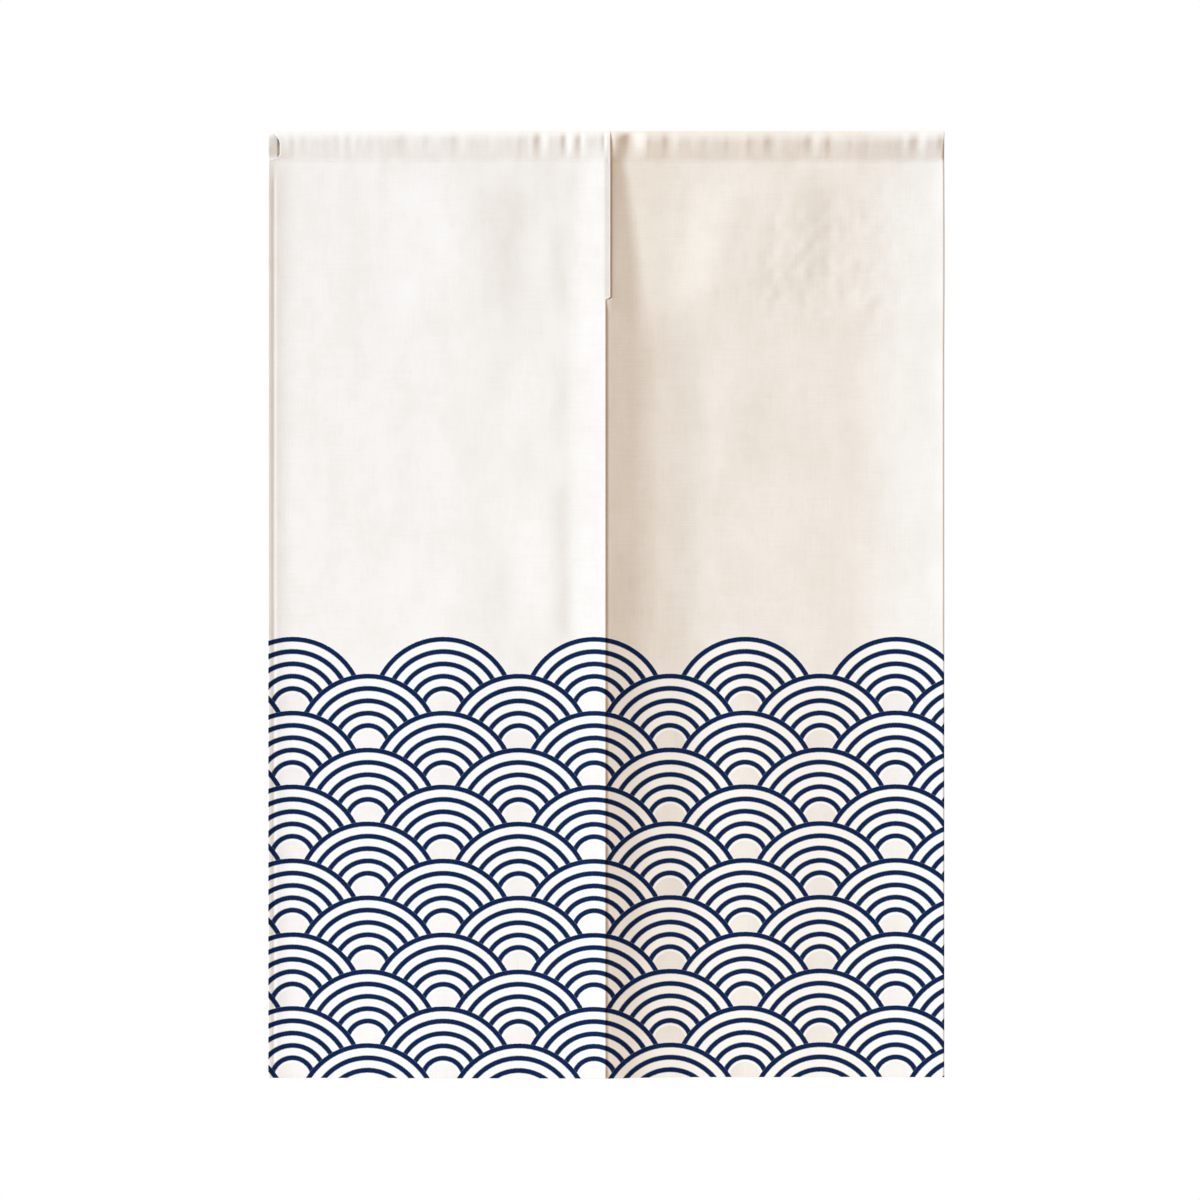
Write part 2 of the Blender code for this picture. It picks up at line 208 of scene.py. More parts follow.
def left_out(x, drop):
    """How far out the front of the left cloth stands: its lean, the rise to the slit, its curl and folds."""
    from_edge = x + WIDTH / 2
    lean = ridge_value("left_lean", drop)
    run = ridge_value("left_run", drop)
    rise = (ridge_value("ridge", drop) - lean) / run * bend(x - SEAM_X + run, RISE_SOFTNESS)
    curl = edge_curl(from_edge, LEFT_CURL_WIDTH, LEFT_CURL, drop)
    folds = low_folds(LEFT_FOLDS, x, drop) * ease(SEAM_X - x, 0.0, 0.010)
    return lean * from_edge / (WIDTH / 2) + rise + curl + folds


def above_slit(drop):
    """1 where the cloths are sewn together and 0 below that."""
    return 1.0 - ease(drop, SEAM_DROP - SEAM_END, SEAM_DROP)


def pressed(x, drop):
    """How far the seam draws both cloths back: it deepens to the left one's edge and ends just past it."""
    lap_edge = SEAM_X + SEAM_LAP
    deepens = ease(x, SEAM_X + PRESS_START, lap_edge + PRESS_FULL)
    ends = ease(x, lap_edge + PRESS_CLEAR, lap_edge + PRESS_GONE)
    return SEAM_PRESS * deepens * (1.0 - ends) * above_slit(drop)


LEFT_SEED = 11
LEFT_GROOVE = Pleat(0.0070 - WIDTH / 2, 0.0036, 0.0006)  # inside the rolled outer edge


def left_front(x, drop):
    """left_out with its fine relief: crumpling, the pressed seam, and a groove inside the rolled edge."""
    groove = LEFT_GROOVE.depth * swell(x - LEFT_GROOVE.x, LEFT_GROOVE.half_width)
    groove = groove * ease(drop, POCKET_DROP, 2 * POCKET_DROP)
    return left_out(x, drop) + crumple(x, drop, LEFT_SEED) - pressed(x, drop) - groove


def left_inner_edge(drop):
    """How far right of its slit edge the left cloth reaches where it is sewn down, above the slit."""
    return SEAM_LAP * above_slit(drop)


REACH = (LAYER + CLOTH) / 2  # from the cloth's edge in to the middle of the fold there
TURN_POINTS = 6  # on the half circle of a fold, its two ends included
HEM_POINTS = 7


def columns_of(low, high, places):
    """The columns of a cloth, as (x, depth behind the front, place across the flat cloth), in metres.

    They run along the turned hem from its inner edge, round a half circle, over the front at the given
    places, round another half circle and back along the other hem. A hem lies one LAYER behind.
    """
    turn = np.linspace(0.0, math.pi, TURN_POINTS)[1:-1]
    back = np.linspace(0.0, SIDE_HEM, HEM_POINTS)
    arc = LAYER / 2 * np.stack([np.sin(turn), 1.0 - np.cos(turn), turn])
    hem = np.stack([-back, np.full_like(back, LAYER), math.pi * LAYER / 2 + back], axis=0)
    beyond = np.concatenate([arc, hem], axis=1)
    front = np.stack([places, np.zeros_like(places), places])
    right = np.stack([high - REACH + beyond[0], beyond[1], high - REACH + beyond[2]])
    left = np.stack([low + REACH - beyond[0], beyond[1], low + REACH - beyond[2]])[:, ::-1]
    return np.concatenate([left, front, right], axis=1)


def spread(*stretches):
    """Places along a line: the first number, then (end, steps) for each evenly divided stretch."""
    places = [stretches[0]]
    for end, steps in stretches[1:]:
        places.extend(np.linspace(places[-1], end, steps + 1)[1:])
    return np.array(places)


def tangent_angle(foot_y, radius, side):
    """The angle on the sleeve's round top at which the straight wall from the stitches meets it."""
    towards = np.arctan2(radius - POCKET_DROP, foot_y)
    return towards + side * np.arccos(radius / np.hypot(foot_y, POCKET_DROP - radius))


def side_hem(x, low, high):
    """1 over a side hem, where the cloth is turned over, and 0 from just past it."""
    return 1.0 - ease(np.minimum(x - low, high - x), SIDE_HEM + 0.001, SIDE_HEM + 0.006)


def shifted(x, from_inner, shift):
    """A place moved with its cloth's inner edge: by the whole shift near it, and by none from 26 mm on."""
    return x + shift * (1.0 - ease(from_inner, 0.006, 0.026))


FOOT_ROWS = 4
FRONT_ROWS = spread(LENGTH, (SEAM_DROP + 0.012, 150), (SEAM_DROP - 0.012, 16), (POCKET_DROP, 38))
FRONT_END = POCKET_DROP + 0.0004  # the panel's last row, just below the sleeve's first


def panel_rows(x, from_inner, depth, stack, front, inner_edge):
    """The panel as a grid of points, up its turned foot hem, round the foot and up the front, and each
    point's place along the flat cloth.

    Round the foot a layer keeps its distance from the middle of the stack, as the sine and cosine say.
    """
    fold = LENGTH - (stack + CLOTH) / 2
    turned = np.linspace(FOOT_HEM, 0.0, FOOT_ROWS + 1)[None, :]
    round_foot = np.linspace(math.pi, 0.0, TURN_POINTS)[None, 1:-1]
    up = (LENGTH - FRONT_ROWS)[None, :] / (LENGTH - POCKET_DROP)
    rising = fold + (FRONT_END - fold) * up
    drop = np.concatenate([fold - turned, fold + (stack / 2 - depth) * np.sin(round_foot), rising], axis=1)
    behind = np.concatenate([
        stack - depth + 0.0 * turned,
        stack / 2 - (stack / 2 - depth) * np.cos(round_foot),
        depth + 0.0 * up,
    ], axis=1)
    half_turn = stack / 2 * math.pi
    along = -np.concatenate([fold + half_turn + turned, fold + stack / 2 * round_foot, rising], axis=1)
    panel_x = shifted(x, from_inner, inner_edge(drop))
    panel_y = -front(panel_x, drop) + CLOTH / 2 + behind
    return np.stack([panel_x, panel_y, -drop], axis=2), along


WALL_ROWS = 7
ARC_ROWS = 16
EDGE_ROWS = 3


def sleeve_rows(at, depth, stack, front, radius_at, outer_x, mouth):
    """The sleeve as a grid of points, and each point's place along the flat cloth.

    Rows run up the front wall, over an arc of radius_at(x) and down the straight back wall to its edge. Near
    outer_x the front is drawn back from the mouth, and the back pulled forward, wholly from half height on.
    """
    radius = radius_at(at)
    foot_y = -front(at, np.full_like(at, POCKET_DROP))
    back_y = foot_y + stack + CLOTH
    inset = CLOTH / 2 + depth
    start, stop = tangent_angle(foot_y, radius, -1.0), tangent_angle(back_y, radius, 1.0) - 2.0 * math.pi
    turn = start + (stop - start) * np.linspace(0.0, 1.0, ARC_ROWS + 1)[None, :]
    arc = np.stack([(radius - inset) * np.cos(turn), (radius - inset) * np.sin(turn) - radius], axis=2)
    climb = np.linspace(0.0, 1.0, WALL_ROWS + 1)[None, 1:-1, None]
    front_foot = np.stack([foot_y - inset * np.cos(start), -POCKET_DROP - inset * np.sin(start)], axis=2)
    back_foot = np.stack([back_y - inset * np.cos(stop), -POCKET_DROP - inset * np.sin(stop)], axis=2)
    wall = front_foot + (arc[:, :1] - front_foot) * climb
    back_wall = arc[:, -1:] + (back_foot - arc[:, -1:]) * climb
    edge = back_foot + np.array([0.0, -1.0]) * np.linspace(0.0, POCKET_EDGE, EDGE_ROWS)[None, :, None]
    section = np.concatenate([wall, arc, back_wall, edge], axis=1)

    height = 1.0 + section[:, :, 1] / POCKET_DROP
    past_top = np.arange(section.shape[1])[None, :] / (WALL_ROWS - 1 + ARC_ROWS / 2) - 1.0
    drawn = ease(height, 0.0, 0.14) * (1.0 - 0.5 * ease(height, 0.55, 1.0)) * (1.0 - ease(past_top, 0.0, 0.4))
    drawn = mouth.drawn * drawn * swell(at - outer_x, MOUTH_REACH)
    pulled = mouth.pulled / PULL_REACH * bend(PULL_REACH - np.abs(at - outer_x), PULL_SOFTNESS)
    section[:, :, 0] -= pulled * ease(past_top, 0.0, 0.5) * ease(height, 0.0, 0.5)
    sleeve_x = at - math.copysign(1.0, outer_x) * drawn
    steps = np.linalg.norm(np.diff(section, axis=1, prepend=front_foot), axis=2)
    along = -POCKET_DROP + np.cumsum(steps, axis=1)
    return np.concatenate([sleeve_x[:, :, None], section], axis=2), along


def hung_cloth(low, high, places, front, inner_edge, radius_at, outer_x, mouth):
    """The middle of the cloth's thickness as a grid [column, row], with its place on the flat cloth.

    A layer that is turned over lies behind the first by its depth, and the order of the layers is mirrored
    where all of them are turned again.
    """
    x, depth, across = (row[:, None] for row in columns_of(low, high, places))
    from_inner = np.abs(x - (high if outer_x < 0 else low))
    stack = LAYER * (1.0 + 2.0 * side_hem(x, low, high))
    panel, panel_along = panel_rows(x, from_inner, depth, stack, front, inner_edge)
    at = shifted(x, from_inner, inner_edge(POCKET_DROP))
    sleeve, sleeve_along = sleeve_rows(at, depth, stack, front, radius_at, outer_x, mouth)
    along = np.concatenate([panel_along, sleeve_along], axis=1)
    return np.concatenate([panel, sleeve], axis=1), np.stack([across + 0.0 * along, along], axis=2)


def cloth_piece(name, middle, flat, undyed_and_shade):
    """A closed skin half a cloth to each side of the middle grid, joined round its four edges.

    Its flat map gives each point's place on the uncut cloth, "reverse" is 1 on the unprinted side, and the
    last attribute is 0 for bleached and 1 for undyed cloth; on the right cloth it also carries painted shade.
    """
    across, up = np.gradient(middle, axis=0), np.gradient(middle, axis=1)
    outward = np.cross(across, up)
    outward /= np.linalg.norm(outward, axis=2, keepdims=True)
    face, back = middle + outward * CLOTH / 2, middle - outward * CLOTH / 2
    columns, rows = middle.shape[:2]
    number = np.arange(columns * rows).reshape(columns, rows)
    a, b, c, d = number[:-1, :-1], number[1:, :-1], number[1:, 1:], number[:-1, 1:]
    fronts = np.stack([a, b, c, d], axis=2).reshape(-1, 4)
    border = np.concatenate([number[:, 0], number[-1, 1:], number[-2::-1, -1], number[0, -2:0:-1]])
    following = np.roll(border, -1)
    count = columns * rows
    rim = np.stack([following, border, border + count, following + count], axis=1)
    quads = np.concatenate([fronts, fronts[:, ::-1] + count, rim])
    points = np.concatenate([face.reshape(-1, 3), back.reshape(-1, 3)])
    mesh = bpy.data.meshes.new(name)
    mesh.from_pydata(points, [], quads)
    mesh.update()
    both = np.tile(flat.reshape(-1, 2), (2, 1))
    mesh.uv_layers.new(name="flat_cloth").data.foreach_set("uv", both[quads.reshape(-1)].reshape(-1))
    reverse = np.repeat([0.0, 1.0], count)
    for attribute, values in (("reverse", reverse), ("undyed_and_shade", np.tile(undyed_and_shade.reshape(-1), 2))):
        mesh.attributes.new(attribute, "FLOAT", "POINT").data.foreach_set("value", values)
    mesh.shade_smooth()
    piece = bpy.data.objects.new(name, mesh)
    bpy.context.scene.collection.objects.link(piece)
    return piece


# The print, in navy ink that soaks into the cloth: rows of overlapping circles with five rings each, every
# row in front of the one above it. Its places are those of the hanging cloth.
WAVE_PITCH = 0.1897
WAVE_X = -0.0154
WAVE_TOP = 0.6387  # the drop of the highest line's middle
WAVE_ROW = 0.0464
WAVE_RADIUS = 0.0884
RING_STEP = 0.0155
LINE = 0.0064
LINE_SOFTNESS = 0.0007  # how far to each side of its edge the ink fades
RAGGED = 0.0008  # how far its edge wanders, from side to side
LAST_RING = 4.5  # rings from the outermost, 0, inwards
FIRST_RING = -0.4


class Sums:
    """Chains of Math nodes, so that the print and the weave can be written as sums."""

    def __init__(self, tree):
        self.tree = tree

    def of(self, operation, *values):
        """One Math node on its values, which are numbers or sockets."""
        node = self.tree.nodes.new("ShaderNodeMath")
        node.operation = operation
        for i, value in enumerate(values):
            if isinstance(value, (int, float)):
                node.inputs[i].default_value = value
            else:
                self.tree.links.new(value, node.inputs[i])
        return node.outputs[0]

    def steps(self, value, low, high, at_low, at_high):
        """From at_low to at_high as value goes from low to high, with an S curve between them."""
        node = self.tree.nodes.new("ShaderNodeMapRange")
        node.interpolation_type = "SMOOTHSTEP"
        self.tree.links.new(value, node.inputs["Value"])
        for key, number in (("From Min", low), ("From Max", high), ("To Min", at_low), ("To Max", at_high)):
            node.inputs[key].default_value = number
        return node.outputs[0]

    def noise(self, vector, across, along, detail=2.0):
        """Soft noise on the flat cloth, its cells across by along metres."""
        stretch = self.tree.nodes.new("ShaderNodeVectorMath")
        stretch.operation = "MULTIPLY"
        stretch.inputs[1].default_value = (1.0 / across, 1.0 / along, 1.0)
        self.tree.links.new(vector, stretch.inputs[0])
        node = self.tree.nodes.new("ShaderNodeTexNoise")
        node.noise_dimensions = "2D"
        node.inputs["Scale"].default_value = 1.0
        node.inputs["Detail"].default_value = detail
        self.tree.links.new(stretch.outputs[0], node.inputs["Vector"])
        return node.outputs["Fac"]

    def mix(self, factor, first, second):
        """The first colour at factor 0, the second at 1, and a straight blend between them."""
        node = self.tree.nodes.new("ShaderNodeMix")
        node.data_type = "RGBA"
        for key, value in ((0, factor), (6, first), (7, second)):
            if isinstance(value, (tuple, float, int)):
                node.inputs[key].default_value = value
            else:
                self.tree.links.new(value, node.inputs[key])
        return node.outputs[2]


def wave_distance(sums, u, v, ragged):
    """How far a point of the cloth is from the middle of the circle that shows there, or 1 m outside them.

    The lowest row whose circle reaches the point is in front, so three rows are tried from the highest down.
    """
    reach = WAVE_RADIUS + LINE / 2 - 0.0002
    middle = -(WAVE_TOP + WAVE_RADIUS)
    lowest = sums.of("FLOOR", sums.of("DIVIDE", sums.of("SUBTRACT", middle + reach, v), WAVE_ROW))
    column = sums.of("DIVIDE", sums.of("SUBTRACT", u, WAVE_X - WAVE_PITCH / 2), WAVE_PITCH)
    shown = 1.0
    for above in (2, 1, 0):
        row = sums.of("SUBTRACT", lowest, float(above))
        half_column = sums.of("MULTIPLY", sums.of("FLOORED_MODULO", row, 2.0), 0.5)
        in_column = sums.of("FRACT", sums.of("SUBTRACT", column, half_column))
        sideways = sums.of("MULTIPLY", sums.of("SUBTRACT", in_column, 0.5), WAVE_PITCH)
        upward = sums.of("SUBTRACT", sums.of("MULTIPLY_ADD", row, WAVE_ROW, v), middle)
        squares = sums.of("ADD", sums.of("POWER", sideways, 2.0), sums.of("POWER", upward, 2.0))
        distance = sums.of("ADD", sums.of("SQRT", squares), ragged)
        in_print = sums.of("GREATER_THAN", row, -0.5)
        inside = sums.of("MULTIPLY", sums.of("LESS_THAN", distance, reach), in_print)
        shown = sums.of("MULTIPLY_ADD", inside, sums.of("SUBTRACT", distance, shown), shown)
    return shown


def printed_linen():
    """Plain weave with slubs and a mottled cream colour, and the navy lines of the waves soaked into it."""
    made = bpy.data.materials.new("printed_linen")
    made.use_nodes = True
    tree = made.node_tree
    sums = Sums(tree)
    shader = tree.nodes["Principled BSDF"]
    flat = tree.nodes.new("ShaderNodeUVMap")
    flat.uv_map = "flat_cloth"
    parts = tree.nodes.new("ShaderNodeSeparateXYZ")
    tree.links.new(flat.outputs[0], parts.inputs[0])
    u, v = parts.outputs[0], parts.outputs[1]
    reverse = tree.nodes.new("ShaderNodeAttribute")
    reverse.attribute_name = "reverse"
    undyed_and_shade = tree.nodes.new("ShaderNodeAttribute")
    undyed_and_shade.attribute_name = "undyed_and_shade"

    thread = 0.00085
    warp_wave = sums.of("SINE", sums.of("MULTIPLY", u, math.pi / thread))
    weft_wave = sums.of("SINE", sums.of("MULTIPLY", v, math.pi / thread))
    weave = sums.of("MULTIPLY", warp_wave, weft_wave)
    warp = sums.noise(flat.outputs[0], 0.0011, 0.045)
    weft = sums.noise(flat.outputs[0], 0.060, 0.0011)
    slubs = sums.of("ADD", warp, weft)
    patches = sums.noise(flat.outputs[0], 0.060, 0.110, 3.0)
    blotches = sums.noise(flat.outputs[0], 0.021, 0.026, 3.0)
    specks = sums.noise(flat.outputs[0], 0.006, 0.009, 3.0)

    # Each cloth colour with a darker tone of it that comes and goes at random; the undyed pair also gives the
    # painted shade in the right cloth's hollow beside the slit.
    bleached, bleached_shade = (0.885, 0.863, 0.840, 1.0), (0.815, 0.775, 0.730, 1.0)
    undyed, undyed_shade = (0.830, 0.762, 0.678, 1.0), (0.735, 0.655, 0.560, 1.0)
    tone = sums.steps(slubs, 0.75, 1.35, 0.0, 0.30)
    tone = sums.of("ADD", tone, sums.steps(patches, 0.40, 0.66, 0.0, 0.24))
    tone = sums.of("ADD", tone, sums.steps(blotches, 0.42, 0.66, 0.0, 0.16))
    tone = sums.of("ADD", tone, sums.steps(specks, 0.50, 0.75, 0.0, 0.12))
    # The undyed colours go on the reverse, on the right cloth's own warmer tone, and as painted shade in its
    # hollow.
    unbleached_and_shade = sums.of("MAXIMUM", undyed_and_shade.outputs["Fac"], reverse.outputs["Fac"])
    bleached_ground = sums.mix(tone, bleached, bleached_shade)
    undyed_ground = sums.mix(tone, undyed, undyed_shade)
    ground = sums.mix(unbleached_and_shade, bleached_ground, undyed_ground)

    ragged = sums.of("MULTIPLY_ADD", sums.noise(flat.outputs[0], 0.0016, 0.0016), RAGGED, -RAGGED / 2)
    distance = wave_distance(sums, u, v, ragged)
    turns = sums.of("DIVIDE", sums.of("SUBTRACT", WAVE_RADIUS, distance), RING_STEP)
    in_turn = sums.of("FRACT", sums.of("ADD", turns, 0.5))
    from_line = sums.of("ABSOLUTE", sums.of("SUBTRACT", in_turn, 0.5))
    full, none = (LINE / 2 - LINE_SOFTNESS) / RING_STEP, (LINE / 2 + LINE_SOFTNESS) / RING_STEP
    line = sums.steps(from_line, full, none, 1.0, 0.0)
    line = sums.of("MULTIPLY", line, sums.of("LESS_THAN", turns, LAST_RING))
    line = sums.of("MULTIPLY", line, sums.of("GREATER_THAN", turns, FIRST_RING))

    inner, outer = sums.of("LESS_THAN", turns, LAST_RING - 0.1), sums.of("GREATER_THAN", turns, FIRST_RING)
    washed = sums.of("MULTIPLY_ADD", reverse.outputs["Fac"], -0.65, 0.75)
    washed = sums.of("MULTIPLY", sums.of("MULTIPLY", inner, outer), washed)
    # The whiter ground between the lines warms where the cloth is undyed, and so also with the painted shade
    # beside the slit.
    fresh = sums.mix(undyed_and_shade.outputs["Fac"], (0.925, 0.920, 0.900, 1.0), (0.945, 0.885, 0.805, 1.0))
    ground = sums.mix(washed, ground, fresh)
    navy, thin_navy = (0.0020, 0.013, 0.064, 1.0), (0.008, 0.030, 0.105, 1.0)
    ink = sums.mix(sums.steps(slubs, 0.8, 1.3, 0.0, 0.5), navy, thin_navy)
    soaked = sums.of("MULTIPLY_ADD", reverse.outputs["Fac"], -0.72, 1.0)
    colour = sums.mix(sums.of("MULTIPLY", line, soaked), ground, ink)
    tree.links.new(colour, shader.inputs["Base Color"])

    bump = tree.nodes.new("ShaderNodeBump")
    bump.inputs["Strength"].default_value = 0.6
    bump.inputs["Distance"].default_value = 0.0001
    height = sums.of("ADD", sums.of("MULTIPLY", weave, 0.35), sums.of("MULTIPLY", slubs, 1.2))
    tree.links.new(height, bump.inputs["Height"])
    tree.links.new(bump.outputs[0], shader.inputs["Normal"])
    tree.links.new(sums.steps(line, 0.0, 1.0, 0.92, 0.80), shader.inputs["Roughness"])
    shader.inputs["Specular IOR Level"].default_value = 0.05
    return made


linen = printed_linen()

STREAK_ROOM = 0.0005  # keeps the streaks of the sleeve within its radius
LEFT_SLEEVE_SEED = 21


def sleeve_radius(pleats, seed):
    """The radius of the sleeve's round top along x: POCKET_RADIUS less the pleats, with upright streaks."""
    def radius_at(x):
        drawn = sum(pleat.depth * swell(x - pleat.x, pleat.half_width) for pleat in pleats.values())
        wide_streaks = 0.00035 * rumple(x, 0.0 * x, 0.017, 1.0, seed)
        narrow_streaks = 0.00025 * rumple(x, 0.0 * x, 0.007, 1.0, seed + 1)
        return POCKET_RADIUS - STREAK_ROOM - drawn + wide_streaks + narrow_streaks
    return radius_at


left_places = spread(REACH - WIDTH / 2, (-0.413, 8), (-0.100, 100), (-0.020, 34), (-0.008, 8),
                     (SEAM_X - REACH, 9))
middle, flat = hung_cloth(-WIDTH / 2, SEAM_X, left_places, left_front, left_inner_edge,
                          sleeve_radius(LEFT_PLEATS, LEFT_SLEEVE_SEED), -WIDTH / 2, LEFT_MOUTH)
undyed_and_shade = 0.13 * ease(middle[:, :, 0], -0.27, -0.10)  # bleached, and a little less so towards the slit
cloth_left = cloth_piece("cloth_left", middle, flat, undyed_and_shade)
cloth_left.data.materials.append(linen)
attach(cloth_left, "root")
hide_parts("panel_left", "rod_pocket_left")

# The right cloth: a second length, warmer and less bleached, cut, hemmed and printed like the first. Its
# inner edge lies behind the left one and is sewn to it near the top. It falls back from the slit in a wide
# hollow, where its colour carries painted shade: warmer and darker beside the slit, paler towards its outer
# edge.
LAP = 0.0040
SEAM_GAP = 0.0001  # between the two cloths where they are sewn together
SLIT_GAP = 0.0013  # and below that
CREST_START = 0.0030  # the right cloth's fall starts softly this far past the left one's edge
CREST_SOFTNESS = 0.0050
SHALLOW_RUN = 0.113
SHALLOW_SOFTNESS = 0.018
RIGHT_CURL_WIDTH = 0.030
RIGHT_CURL = 0.0016
RIGHT_LIFT_WIDTH = 0.115
RIGHT_LIFT = 0.0034
RIGHT_MOUTH = Mouth(0.002, 0.0)
RIGHT_FOLDS = {
    "diagonal": Fold(0.180, 0.030, 0.140, 0.215, 0.070, 0.150, 0.0044),
    "shoulder": Fold(0.250, 0.020, 0.236, 0.180, 0.075, 0.045, 0.0022),
    "ripple": Fold(0.160, 0.300, 0.162, 0.430, 0.046, 0.050, 0.0011),
    "low_swell": Fold(0.185, 0.640, 0.210, 1.400, 0.060, 0.090, 0.0012),
}
RIGHT_PLEATS = {
    "lap": Pleat(-0.004, 0.022, 0.0020),
    "hollow": Pleat(0.030, 0.022, 0.0046),
    "first": Pleat(0.078, 0.012, 0.0010),
    "second": Pleat(0.209, 0.012, 0.0012),
    "third": Pleat(0.258, 0.011, 0.0012),
    "fourth": Pleat(0.281, 0.006, 0.0006),
    "fifth": Pleat(0.390, 0.013, 0.0016),
    "corner": Pleat(WIDTH / 2, 0.012, 0.0014),
}


def behind_left(drop):
    """How far the front of the right cloth lies behind that of the left one where they overlap."""
    opens = ease(drop, SEAM_DROP - SEAM_END, SEAM_DROP + 0.020)
    return LAYER + CLOTH + SEAM_GAP + (SLIT_GAP - SEAM_GAP) * opens


def right_out(x, drop):
    """How far out the right cloth's front stands: behind the left one, then two falls, curl and folds."""
    from_edge = WIDTH / 2 - x
    from_seam = bend(x - SEAM_X - CREST_START, CREST_SOFTNESS)
    beside_left = left_out(np.minimum(x, SEAM_X), drop) - behind_left(drop)
    at_seam = left_out(np.full_like(x, SEAM_X), drop) - behind_left(drop)
    field = ridge_value("field", drop)
    run = ridge_value("right_run", drop)
    fall = (at_seam - field) / run * (bend(run - from_seam, ridge_value("soft", drop)) - run)
    gentle = bend(SHALLOW_RUN - from_seam, SHALLOW_SOFTNESS) / SHALLOW_RUN - 1.0
    lean = ridge_value("right_lean", drop) * from_seam / (WIDTH / 2)
    lift = RIGHT_LIFT * (1.0 - ease(from_edge, 0.0, RIGHT_LIFT_WIDTH))
    lift = lift * ease(drop, POCKET_DROP, 4 * POCKET_DROP)
    curl = edge_curl(from_edge, RIGHT_CURL_WIDTH, RIGHT_CURL, drop)
    folds = low_folds(RIGHT_FOLDS, x, drop) * ease(from_seam, 0.010, 0.030)
    return beside_left + fall + ridge_value("shallow", drop) * gentle - lean + lift + curl + folds


RIGHT_SEED = 31
CRINKLES = {
    "small": Wrinkle(0.00033, 0.010, 0.012, 16),
    "slanting": Wrinkle(0.00033, 0.017, 0.023, 17),
}
RIGHT_ROLL = 0.0014  # how far the outer edge rolls back
RIGHT_ROLL_WIDTH = 0.0026


def right_front(x, drop):
    """right_out with its fine relief: crumpling, and a crinkled place under the sleeve at the right.

    Beside the seam the crumpling is the left cloth's own, because the two are sewn together there.
    """
    crinkled = ease(x, 0.150, 0.230) * (1.0 - ease(x, 0.330, 0.400))
    crinkled = crinkled * ease(drop, 0.06, 0.13) * (1.0 - ease(drop, 0.20, 0.27))
    crinkles = wrinkle(CRINKLES["small"], x, drop, RIGHT_SEED)
    crinkles = crinkles + wrinkle(CRINKLES["slanting"], x + drop, drop - x, RIGHT_SEED)
    beside = 1.0 - ease(x, SEAM_X + SEAM_LAP + 0.001, SEAM_X + 0.060)
    relief = beside * crumple(x, drop, LEFT_SEED) + (1.0 - beside) * crumple(x, drop, RIGHT_SEED)
    rolled = RIGHT_ROLL * np.clip((x - WIDTH / 2) / RIGHT_ROLL_WIDTH + 1.0, 0.0, 1.0) ** 2
    return right_out(x, drop) + relief + crinkled * crinkles - pressed(x, drop) - rolled


def no_shift(drop):
    """The right cloth's inner edge hangs straight."""
    return 0.0 * drop


RIGHT_SLEEVE_SEED = 23
right_places = spread(SEAM_X - LAP + REACH, (0.003, 6), (0.008, 11), (0.020, 8), (0.070, 24), (0.120, 18),
                      (0.413, 92), (0.420, 3), (WIDTH / 2 - REACH, 7))
middle, flat = hung_cloth(SEAM_X - LAP, WIDTH / 2, right_places, right_front, no_shift,
                          sleeve_radius(RIGHT_PLEATS, RIGHT_SLEEVE_SEED), WIDTH / 2, RIGHT_MOUTH)
# Partly the cloth's own warmer tone and partly painted shade: undyed, warmer and darker in the hollow
# beside the slit, where the cloth falls back into shade, and paler towards the outer edge, which turns to the
# light.
undyed_and_shade = 1.0 - 0.25 * ease(middle[:, :, 0], 0.05, 0.13) - 0.60 * ease(middle[:, :, 0], 0.29, 0.41)
cloth_right = cloth_piece("cloth_right", middle, flat, undyed_and_shade)
cloth_right.data.materials.append(linen)
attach(cloth_right, "root")
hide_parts("panel_right", "rod_pocket_right")

# The sewing: undyed cotton thread in short straight machine stitches. They close the sleeve on both faces,
# join the two cloths near the top, and hold the side and foot hems, where they show on the back alone.
STITCH = 0.0025
STITCH_PITCH = 0.0032
THREAD_RADIUS = 0.00018
SLEEVE_ROW = POCKET_DROP + 0.0008
HEM_ROW = SIDE_HEM - 0.0015  # from the edge
FOOT_ROW = LENGTH - FOOT_HEM + 0.0015
SEAM_ROW = SEAM_X + SEAM_LAP - 0.0025


def stitch_row(front, x, drop, behind, downward):
    """Where a row's stitches lie, as (place, direction along the row, direction off the cloth), each [n, 3].

    They lie on the cloth's front, or that far behind it. The directions come from the front's two slopes.
    """
    step = 0.0005
    slope_x = (front(x + step, drop) - front(x - step, drop)) / (2 * step)
    slope_down = (front(x, drop + step) - front(x, drop - step)) / (2 * step)
    place = np.stack([x, behind - front(x, drop), -drop], axis=1)
    none, one = np.zeros_like(x), np.ones_like(x)
    along = np.stack([none, -slope_down, -one] if downward else [one, -slope_x, none], axis=1)
    off = np.stack([-slope_x, -one, slope_down], axis=1) * np.where(behind > 0.0, -1.0, 1.0)[:, None]
    return np.stack([place, along, off]) / np.stack([one, *np.linalg.norm([along, off], axis=2)])[:, :, None]


